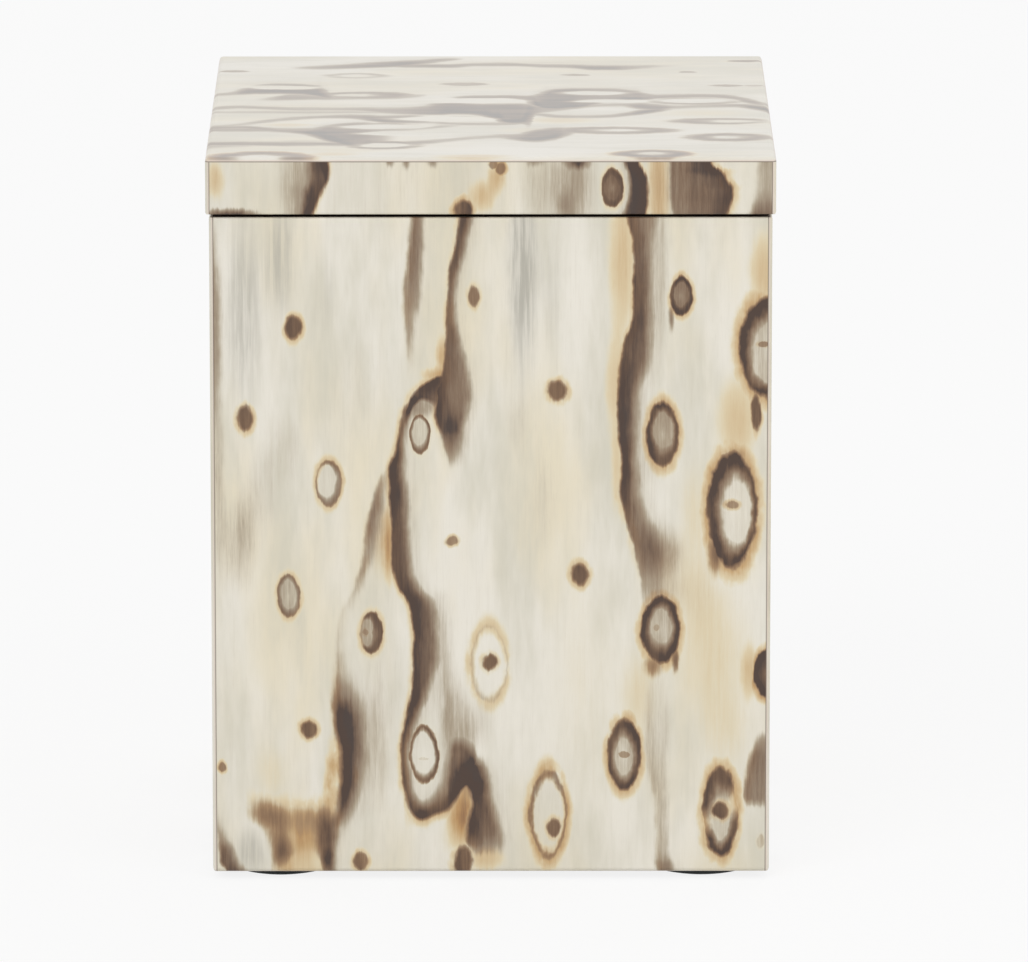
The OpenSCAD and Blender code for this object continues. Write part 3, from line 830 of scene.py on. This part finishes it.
# Dots, in the same measure
DOT_POWER = 1.8
DOT_RAGGED = 0.4
DOT_GLOW_SPAN = (1.6, 0.8)
DOT_GLOW_AMOUNT = 0.66
DOT_CORE_SPAN = (1.08, 0.6)
DOT_CORE_AMOUNT = 0.88
DOT_BROWN = 0.62


def dot_fields(g, place, dots, ragged, patchy):
    """Warm and dark of the small round marks."""
    shapes = [(row[:2], row[2:4], (*row[4:], 0), (0, 0, 0)) for row in dots]
    inner, values, _ = nearest(g, place, shapes)
    halo, strength, _ = g.split(values)
    edge = g.math("MULTIPLY_ADD", ragged, DOT_RAGGED, pointed_reach(g, inner, DOT_POWER))
    glow = g.product(g.step(edge, *DOT_GLOW_SPAN), patchy, halo, DOT_GLOW_AMOUNT)
    core = g.product(g.step(edge, *DOT_CORE_SPAN), strength, DOT_CORE_AMOUNT)
    return g.greater(glow, g.product(core, DOT_BROWN)), core


def patch_fields(g, place, patches):
    """The sums of the soft warm and dark patches."""
    total = (0, 0, 0)
    for u, v, a, b, warm, dark in patches:
        total = g.use(PATCH_GROUP, {"place": place, "middle": (u, v, 0), "half": (a, b, 1),
                                    "amount": (warm, dark, 0), "sum": total})[0]
    return g.split(total)


# Noises that follow the grain: scale across and along it, shift, detail and roughness
GRAIN_NOISES = {
    "drift": (0.12, 0.09, 0, 2, 0.5),
    "wobble": (0.7, 0.35, 31, 2, 0.5),
    "fray": (1.5, 0.06, 57, 3, 0.6),
    "ragged": (0.6, 0.36, 13, 2, 0.5),
    "patchy": (0.3, 0.12, 77, 3, 0.6),
    "fibres": (1.6, 0.06, 5, 4, 0.6),
    "fine": (5, 0.3, 9, 3, 0.6),
    "mottle": (0.28, 0.05, 43, 3, 0.5),
    "slow": (0.05, 0.014, 3, 3, 0.55),
    "shade": (0.09, 0.018, 91, 4, 0.65),
}
SHIFT_WAY = (1, 0.37, 0.11)
# Where the noises that are used as steps start and end
NOISE_SPANS = {"patchy": (0.1, 0.6), "mottle": (0.35, 0.65), "slow": (0.42, 0.66), "shade": (0.36, 0.72)}

# How far marks drift and wobble across the grain, and their ends fray along it, in millimetres
DRIFT = 1.3
WOBBLE = 0.8
BAND_FRAY = 1.8
KNOT_FRAY = 0.8
LYING_FRAY = 0.5


def grain_noise(g, place, name):
    across, along, shift, detail, rough = GRAIN_NOISES[name]
    moved = g.vector("ADD", place, tuple(shift * way for way in SHIFT_WAY))
    return g.noise(moved, (across, along, 1), detail, rough)


def stepped_noise(g, place, name):
    return g.step(grain_noise(g, place, name), *NOISE_SPANS[name])


def swing(g, value):
    """The same value about 0 instead of about its middle, 0.5."""
    return g.math("SUBTRACT", value, 0.5)


class Face:
    """Which way a face lies.

    Across and along are (axis, sign) of the figure's two directions, and outward
    is (axis, sign, distance) of the outer plane. Span is the lowest place along
    the grain and the length from there. Seams are (axis, place) of glue lines.
    """

    def __init__(self, across, along, outward, span, seams=()):
        self.across = across
        self.along = along
        self.outward = outward
        self.span = span
        self.seams = seams


def drawn_fields(g, figure, face, place, across, along, blur):
    """Warm and dark of everything drawn on a face, and the sum of its warm patches."""
    # The fibres wander, so marks drift sideways a little and their ends fray along the grain
    drift = swing(g, grain_noise(g, place, "drift"))
    wobble = g.product(swing(g, grain_noise(g, place, "wobble")), WOBBLE)
    across = g.math("ADD", across, g.math("MULTIPLY_ADD", drift, DRIFT, wobble))
    fray = swing(g, grain_noise(g, place, "fray"))
    band_along, knot_along, lying_along = (
        g.math("MULTIPLY_ADD", fray, reach, along) for reach in (BAND_FRAY, KNOT_FRAY, LYING_FRAY))
    knot_place = g.join(across, knot_along)
    ragged = swing(g, grain_noise(g, place, "ragged"))
    patchy = stepped_noise(g, place, "patchy")

    fields = (0, 0)
    for band in figure.bands:
        level = lying_along if band.lying else band_along
        fields = add_band(g, band, across, level, face.span, patchy, fields)
    warm_patch, dark_patch, _ = patch_fields(g, g.join(across, band_along), figure.patches)
    warm = g.greater(fields[0], warm_patch)
    dark = g.math("ADD", fields[1], g.greater(dark_patch, 0))
    for more_warm, more_dark in (ring_fields(g, knot_place, figure.rings, ragged, patchy, blur),
                                 dot_fields(g, knot_place, figure.dots, ragged, patchy)):
        warm = g.greater(warm, more_warm)
        dark = g.greater(dark, more_dark)
    warm = g.math("ADD", warm, g.math("MINIMUM", warm_patch, 0))
    dark = g.math("ADD", dark, g.math("MINIMUM", dark_patch, 0))
    return warm, g.greater(dark, 0), warm_patch


# How much the fibres and the fine grain streak the marks, and the mottling's lightest and darkest
FIBRE_STREAK = 1.4
FINE_STREAK = 0.8
MOTTLE = (0.9, 1.08)
# Dark at which no streak shows any more, the streaks' share in the warm, and how much of the warm the
# painted glare takes
STREAK_END = 1.1
WARM_STREAK = 0.4
WARM_TAKEN_BY_GLARE = 0.7

# Cream: how much of the shade and of the fibres shows, and where a fibre starts and ends
SHADE_AMOUNT = 0.85
FIBRE_AMOUNT = 0.13
FIBRE_SPAN = (0.5, 0.8)
# Cool shade: over which sum of patches it comes in, over which fibres, and how much of it shows
COOL_SPAN = (0, -0.6)
COOL_FIBRE_SPAN = (0.34, 0.62)
COOL_AMOUNT = (0.4, 0.95)

# Amounts of warm over which the glow and the brown come in, and of dark over which the marks do
GLOW_IN = (0, 0.3)
BROWN_IN = (0.05, 0.55)
DARK_IN = (0, 0.42)

# Depths and widths in millimetres: where the sheet's pale edge starts, its glue line, an end seam
PALE_EDGE_SPAN = (0.3, 0.6)
GLUE_T = 0.16
SEAM_SPAN = (0.22, 0.02)
PALE_EDGE_AMOUNT = 0.7
GLUE_AMOUNT = 0.8

# The sheet's surface: height of its relief, the fibres' share in it, and its roughness
RELIEF = 0.012 * MM
FIBRE_RELIEF = 0.6
VENEER_ROUGHNESS = (0.3, 0.42)


def streaked(g, place, fibres, fine, warm, dark, bleached):
    """The fields, made uneven: some fibres took more of the colour than others."""
    streak = g.math("ADD", g.product(swing(g, fibres), FIBRE_STREAK),
                    g.product(swing(g, fine), FINE_STREAK))
    dark = g.product(dark, g.between(stepped_noise(g, place, "mottle"), *MOTTLE))
    middling = g.product(dark, g.math("SUBTRACT", STREAK_END, dark))
    dark = g.math("MULTIPLY_ADD", streak, middling, dark, clamp=True)
    # Under painted glare the marks lose part of their warm
    share = g.math("MULTIPLY_ADD", streak, WARM_STREAK, 1 - WARM_TAKEN_BY_GLARE * bleached)
    return g.math("MULTIPLY", warm, share, clamp=True), dark


def cream_colour(g, place, fibres, fine):
    """The veneer between its marks."""
    colour = g.blend(stepped_noise(g, place, "slow"), CREAM, WARM_CREAM)
    shade = g.product(stepped_noise(g, place, "shade"), SHADE_AMOUNT)
    colour = g.blend(shade, colour, SHADED_CREAM)
    for grain in (fibres, fine):
        colour = g.blend(g.product(g.step(grain, *FIBRE_SPAN), FIBRE_AMOUNT), colour, FIBRE_SHADE)
    return colour


def cooled(g, colour, fibres, warm_patch):
    """The cream with its cool shade, where a patch's warm is under 0."""
    cool = g.between(g.step(fibres, *COOL_FIBRE_SPAN), *COOL_AMOUNT)
    return g.blend(g.product(g.step(warm_patch, *COOL_SPAN), cool), colour, COOL_SHADE)


def scorched(g, colour, warm, dark):
    """The colour with the glow and the dark of the marks over it."""
    colour = g.blend(g.step(warm, *GLOW_IN), colour, g.ramp(warm, GLOW))
    scorch = g.blend(g.step(warm, *BROWN_IN), g.ramp(dark, GREY_DARK), g.ramp(dark, BROWN_DARK))
    return g.blend(g.step(dark, *DARK_IN), colour, scorch)


def edged(g, colour, parts, face):
    """The colour with the sheet's pale edge and the glue lines beside it."""
    axis, sign, distance = face.outward
    below = g.math("SUBTRACT", distance, g.product(parts[axis], sign))
    pale = g.product(g.step(below, *PALE_EDGE_SPAN), PALE_EDGE_AMOUNT)
    colour = g.blend(pale, colour, SHEET_EDGE)
    glue = g.step(below, SHEET_T - GLUE_T, SHEET_T)
    for axis, seam in face.seams:
        reach = g.math("ABSOLUTE", parts[axis])
        glue = g.greater(glue, g.step(reach, *(seam - width for width in SEAM_SPAN)))
    return g.blend(g.product(glue, GLUE_AMOUNT), colour, GLUE_LINE)


def veneer_material(name, figure, face, seed, bleached=0, blur=0):
    """The veneer of one face. Painted glare is how far the whole sheet is paled toward a pale grey, a
    painted sheen of the bright surroundings.
    """
    material, g = new_material(name)
    parts = g.split(g.place_in_mm())
    across, along = (g.product(parts[axis], sign) for axis, sign in (face.across, face.along))
    place = g.join(across, along, seed)
    fibres, fine = (grain_noise(g, place, kind) for kind in ("fibres", "fine"))
    warm, dark, warm_patch = drawn_fields(g, figure, face, place, across, along, blur)
    warm, dark = streaked(g, place, fibres, fine, warm, dark, bleached)
    colour = cream_colour(g, place, fibres, fine)
    if not bleached:
        colour = cooled(g, colour, fibres, warm_patch)
    colour = scorched(g, colour, warm, dark)
    # Painted glare: the sheet paled toward a pale grey, standing in for sheen
    if bleached:
        colour = g.blend(bleached, colour, PAINTED_GLARE_COLOUR)
    relief = g.math("MULTIPLY_ADD", fibres, FIBRE_RELIEF, fine)
    cover(g, edged(g, colour, parts, face), g.between(fibres, *VENEER_ROUGHNESS), relief, RELIEF)
    return material


# Boards: scales, detail and roughness of the grain and the pores, where the grain starts and ends,
# and what each adds
BOARD_GRAIN = ((0.9, 0.9, 0.05), 4, 0.6)
BOARD_PORES = ((3.5, 3.5, 0.3), 2, 0.5)
BOARD_GRAIN_SPAN = (0.35, 0.7)
GRAIN_SHARE = 0.7
PORE_SHARE = 0.3
PORE_ROUGHNESS = (-0.06, 0.08)
BOARD_ROUGHNESS = 0.6
LINER_ROUGHNESS = 0.5
PORE_RELIEF = 0.02 * MM


def board_material(name, dark, light, roughness):
    """Stained board with a faint straight grain."""
    material, g = new_material(name)
    mm = g.place_in_mm()
    grain = g.noise(mm, *BOARD_GRAIN)
    pores = g.noise(mm, *BOARD_PORES)
    tone = g.math("ADD", g.product(g.step(grain, *BOARD_GRAIN_SPAN), GRAIN_SHARE),
                  g.product(pores, PORE_SHARE))
    roughness = g.between(pores, *(roughness + change for change in PORE_ROUGHNESS))
    cover(g, g.blend(tone, dark, light), roughness, pores, PORE_RELIEF)
    return material


# Felt: scale and reach of its tangle, and scales, detail and roughness of the two ways that its
# fibres lie and of its clumps
TANGLE_SCALE = 1.1
TANGLE_REACH = 3
FIBRE_WAYS = [((1.2, 4.5, 3), 4, 0.7), ((5, 1.1, 3), 4, 0.7)]
CLUMPS = ((0.35, 0.35, 0.35), 3, 0.6)
CLUMP_AMOUNT = (0.5, 1.2)
MAT_SPAN = (0.42, 0.78)
MAT_ROUGHNESS = (0.95, 0.82)
MAT_RELIEF = 0.12 * MM
SHEEN = 0.25
SHEEN_ROUGHNESS = 0.5


def felt_material(name, dark, light):
    """Matted wool: tangled fibres with lighter flecks."""
    material, g = new_material(name)
    mm = g.place_in_mm()
    tangle = g.node("TexNoise", {"Vector": mm, "Scale": TANGLE_SCALE}).outputs[1]
    tangle = g.vector("ADD", mm, g.times(tangle, TANGLE_REACH))
    mat = g.greater(*(g.noise(tangle, *way) for way in FIBRE_WAYS))
    clumps = g.between(g.noise(mm, *CLUMPS), *CLUMP_AMOUNT)
    tone = g.math("MULTIPLY", g.step(mat, *MAT_SPAN), clumps, clamp=True)
    cover(g, g.blend(tone, dark, light), g.between(mat, *MAT_ROUGHNESS), mat, MAT_RELIEF,
          Sheen_Weight=SHEEN, Sheen_Roughness=SHEEN_ROUGHNESS)
    return material


def paint(node_name, material):
    slots = nodes[node_name].data.materials
    slots.clear()
    slots.append(material)


# Lowest place along the grain, and the length from there, in millimetres
BODY_SPAN = (0, 140)
LID_SPAN = (139, 14)
SIDE_SPAN = (0, 153)
TOP_SPAN = (-60, 120)

# The sides that the photograph doesn't show: name, across, outward, seed, whether end seams show
OTHER_SIDES = [
    ("right", (Y, 1), (X, 1), 11, False),
    ("back", (X, -1), (Y, 1), 23, True),
    ("left", (Y, -1), (X, -1), 37, False),
]
FRONT_SEED = 1
TOP_SEED = 5
# How far the lid's top is paled by painted glare, a painted sheen seen at a low angle
TOP_PAINTED_GLARE = 0.36
TOP_BLUR = 0.28


def paint_veneer(node_name, figure, face, seed, **light):
    paint(node_name, veneer_material(node_name.replace("_", " "), figure, face, seed, **light))


def dress_side(side, across, outward, seed, seamed, on_body, on_lid):
    """Paints one side of the body and of the lid, each with its own (figure, span)."""
    lid_level = [(Z, LID_TOP_Z - SHEET_T)]
    for prefix, half, seams, (figure, span) in (("", BODY_HALF, [], on_body),
                                                ("lid_", LID_HALF, lid_level, on_lid)):
        if seamed:
            seams = seams + [(X, half - SHEET_T)]
        face = Face(across, (Z, 1), (*outward, half), span, seams)
        paint_veneer(f"{prefix}{side}_veneer", figure, face, seed)


def dress_veneers():
    """Gives each veneer its own figure. Only in front does the lid's differ from the body's."""
    dress_side("front", (X, 1), (Y, -1), FRONT_SEED, True, (FRONT, BODY_SPAN), (LID_FRONT, LID_SPAN))
    for side, across, outward, seed, seamed in OTHER_SIDES:
        run_on = (invented_figure(seed, LID_TOP_Z, BODY_HALF), SIDE_SPAN)
        dress_side(side, across, outward, seed, seamed, run_on, run_on)
    top = Face((Y, 1), (X, 1), (Z, 1, LID_TOP_Z), TOP_SPAN)
    paint_veneer("lid_top_veneer", TOP, top, TOP_SEED, bleached=TOP_PAINTED_GLARE, blur=TOP_BLUR)


def dress_boards():
    board = board_material("stained board", BOARD_DARK, BOARD_LIGHT, BOARD_ROUGHNESS)
    liner = board_material("liner board", LINER_DARK, LINER_LIGHT, LINER_ROUGHNESS)
    for name in nodes:
        if name.endswith(("wall", "board", "rail")):
            paint(name, board)
        if name.endswith("liner"):
            paint(name, liner)


# Cells along each side of a felt sheet, and where in the noise its unevenness is taken from
FELT_CELLS = 120
FELT_SEED = 3.7
# How far the felt's cut edge draws in and its face sinks, and how fine that unevenness is
EDGE_DRAW = 0.18 * MM
FACE_SINK = 0.06 * MM
RIPPLES_PER_METRE = 900
# Shares of a sheet's half width past which a point is on its edge, and near a given side
ON_EDGE = 0.999
NEAR_SIDE = 0.99


def felt_grid(felt, low, high):
    """A flat square grid of faces at the lower level."""
    rows = []
    for i in range(FELT_CELLS + 1):
        x = low.x + (high.x - low.x) * i / FELT_CELLS
        rows.append([felt.verts.new((x, low.y + (high.y - low.y) * j / FELT_CELLS, low.z))
                     for j in range(FELT_CELLS + 1)])
    for row, after in zip(rows, rows[1:]):
        for j in range(FELT_CELLS):
            felt.faces.new((row[j], after[j], after[j + 1], row[j + 1]))


def drawn_in(place, middle, reach, ripple):
    """A coordinate of a point on the sheet's edge, drawn in if the point is near that side."""
    if abs(place - middle) <= NEAR_SIDE * reach:
        return place
    return place - math.copysign(EDGE_DRAW * (1 + ripple), place - middle)


def linked(name, content):
    """A new object of the scene with this mesh, lamp or camera."""
    piece = bpy.data.objects.new(name, content)
    bpy.context.scene.collection.objects.link(piece)
    return piece


def finished(name, shape):
    """A new object of the scene from a bmesh, which is freed."""
    bmesh.ops.recalc_face_normals(shape, faces=shape.faces)
    mesh = bpy.data.meshes.new(name)
    shape.to_mesh(mesh)
    shape.free()
    return linked(name, mesh)


def felt_sheet(name, node_name):
    """A thin square of felt with a soft cut edge, inside the box of the solid that it replaces."""
    low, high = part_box(node_name)
    felt = bmesh.new()
    felt_grid(felt, low, high)
    top = bmesh.ops.extrude_face_region(felt, geom=felt.faces[:])
    raised = {v for v in top["geom"] if isinstance(v, bmesh.types.BMVert)}
    bmesh.ops.translate(felt, verts=list(raised), vec=(0, 0, high.z - low.z))
    middle = (low + high) / 2
    reach = (high.x - low.x) / 2
    for vert in felt.verts:
        at = vert.co
        ripple = noise.noise(Vector(at) * RIPPLES_PER_METRE + Vector((FELT_SEED, FELT_SEED, 0)))
        if max(abs(at.x - middle.x), abs(at.y - middle.y)) / reach > ON_EDGE:
            at.x = drawn_in(at.x, middle.x, reach, ripple)
            at.y = drawn_in(at.y, middle.y, reach, ripple)
        if vert in raised:
            at.z -= FACE_SINK * (1 + ripple)
    return finished(name, felt)


FOOT_RADIUS = 11 * MM
FOOT_SIDES = 72
# Shares of the radius and of the height, from the middle below to the middle on top
FOOT_PROFILE = [(0, 0), (0.5, 0), (0.9, 0), (0.97, 0.05), (0.995, 0.25), (1, 0.6), (0.99, 1),
                (0.9, 1), (0.5, 1), (0, 1)]
# Share of the radius that wear takes, and how fine that unevenness is, round the foot and up
FOOT_WEAR = 0.012
WEAR_RADIUS = 2.2
WEAR_HEIGHT = 3
# Seeds of the feet: how much more a step to the side counts than one to the back
SIDE_STEP = 10


def foot_loop(pad, middle, share, height, thickness, seed):
    """One level ring of points of a foot, or its single middle point."""
    level = middle.z + height * thickness
    if share == 0:
        return [pad.verts.new((middle.x, middle.y, level))]
    loop = []
    for k in range(FOOT_SIDES):
        turn = 2 * math.pi * k / FOOT_SIDES
        around = Vector((math.cos(turn) * WEAR_RADIUS + seed, math.sin(turn) * WEAR_RADIUS,
                         height * WEAR_HEIGHT))
        r = FOOT_RADIUS * share * (1 - FOOT_WEAR * (1 + noise.noise(around)))
        loop.append(pad.verts.new((middle.x + r * math.cos(turn), middle.y + r * math.sin(turn), level)))
    return loop


def join_loops(pad, lower, upper):
    for k in range(FOOT_SIDES):
        n = (k + 1) % FOOT_SIDES
        if len(lower) == 1:
            pad.faces.new((lower[0], upper[n], upper[k]))
        elif len(upper) == 1:
            pad.faces.new((lower[k], lower[n], upper[0]))
        else:
            pad.faces.new((lower[k], lower[n], upper[n], upper[k]))


def felt_foot(name, middle, thickness, seed):
    """A round felt pad with a worn, slightly uneven edge."""
    pad = bmesh.new()
    loops = [foot_loop(pad, middle, share, height, thickness, seed) for share, height in FOOT_PROFILE]
    for lower, upper in zip(loops, loops[1:]):
        join_loops(pad, lower, upper)
    piece = finished(name, pad)
    for face in piece.data.polygons:
        face.use_smooth = True
    return piece


def dress_linings():
    lining = felt_material("lining felt", FELT_DARK, FELT_LIGHT)
    for name, node_name, body, rests in (
            ("felt_floor_lining", "floor_lining", "body", "floor_board"),
            ("felt_lid_lining", "lid_lining", "lid", "lid_board")):
        piece = felt_sheet(name, node_name)
        piece.data.materials.append(lining)
        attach(piece, body)
        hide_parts(node_name)


def dress_feet():
    foot = felt_material("foot felt", FOOT_DARK, FOOT_LIGHT)
    low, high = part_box("feet")
    for side, x in (("left", low.x + FOOT_RADIUS), ("right", high.x - FOOT_RADIUS)):
        for end, y in (("front", low.y + FOOT_RADIUS), ("back", high.y - FOOT_RADIUS)):
            seed = SIDE_STEP * x / FOOT_RADIUS + y / FOOT_RADIUS
            piece = felt_foot(f"felt_foot_{end}_{side}", Vector((x, y, low.z)), high.z - low.z, seed)
            piece.data.materials.append(foot)
            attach(piece, "body")
            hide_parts("feet")


def show(g, output, lit, seen):
    """Shows one shader to camera, mirror and glass rays, and the lit one to the rest."""
    path = g.node("LightPath").outputs
    direct = g.greater(path["Is Camera Ray"], path["Is Glossy Ray"])
    direct = g.greater(direct, path["Is Transmission Ray"])
    g.node(output, {0: g.node("MixShader", {0: direct, 1: lit, 2: seen}).outputs[0]})


# Strength of the light from all round, half the floor's side, and how white the floor shows
WORLD_LIGHT = 0.62
FLOOR_HALF = 14
FLOOR_WHITE_SHARE = 0.85


def make_world():
    world = bpy.data.worlds.new("white studio")
    bpy.context.scene.world = world
    world.use_nodes = True
    g = Graph(world.node_tree)
    lit, seen = (g.node("Background", {"Color": linear(WHITE), "Strength": strength}).outputs[0]
                 for strength in (WORLD_LIGHT, 1))
    show(g, "OutputWorld", lit, seen)


def make_floor():
    """A wide pale floor that keeps the box's shadow."""
    mesh = bpy.data.meshes.new("floor")
    corners = [(x * FLOOR_HALF, y * FLOOR_HALF, 0) for x, y in ((-1, -1), (1, -1), (1, 1), (-1, 1))]
    mesh.from_pydata(corners, [], [(0, 1, 2, 3)])
    material, g = new_material("pale floor")
    matt = g.node("BsdfDiffuse", {"Color": linear(FLOOR_GREY)}).outputs[0]
    white = g.node("Emission", {"Color": linear(WHITE), "Strength": 1}).outputs[0]
    seen = g.node("MixShader", {0: FLOOR_WHITE_SHARE, 1: matt, 2: white}).outputs[0]
    show(g, "OutputMaterial", matt, seen)
    mesh.materials.append(material)
    linked("floor", mesh)


# Place and watts of each square lamp, and the aim and the side that they all share
LAMPS = {
    "key lamp": ((-1.1, -1.7, 1.7), 16),
    "fill lamp": ((1.5, -1.4, 1.1), 9),
    "back lamp": ((0.8, 2.2, 2.4), 10),
}
LAMP_AIM = Vector((0, 0, 0.08))
LAMP_SIZE = 1.4


def make_lamps():
    for name, (place, watts) in LAMPS.items():
        lamp = bpy.data.lights.new(name, "AREA")
        lamp.shape = "SQUARE"
        lamp.size = LAMP_SIZE
        lamp.energy = watts
        holder = linked(name, lamp)
        holder.location = place
        holder.rotation_euler = (LAMP_AIM - Vector(place)).to_track_quat("-Z", "Y").to_euler()


# Where the photograph was taken from, how far the camera looks down and to the side, and its lens
# and sensor in millimetres
CAMERA_PLACE = (0, -2.0874, 0.5415)
CAMERA_TILT = math.radians(12.69)
CAMERA_TURN = math.radians(0.134)
LENS = 355.3
SENSOR = 36
CLIP_END = 100


def make_camera():
    camera = bpy.data.cameras.new("camera")
    camera.lens = LENS
    camera.sensor_width = SENSOR
    camera.sensor_fit = "HORIZONTAL"
    camera.clip_end = CLIP_END
    holder = linked("camera", camera)
    holder.location = CAMERA_PLACE
    holder.rotation_euler = (math.pi / 2 - CAMERA_TILT, 0, -CAMERA_TURN)
    bpy.context.scene.camera = holder


make_camera()
make_world()
make_floor()
make_lamps()
dress_veneers()
dress_boards()
dress_linings()
dress_feet()

bpy.context.scene.view_settings.view_transform = "Standard"
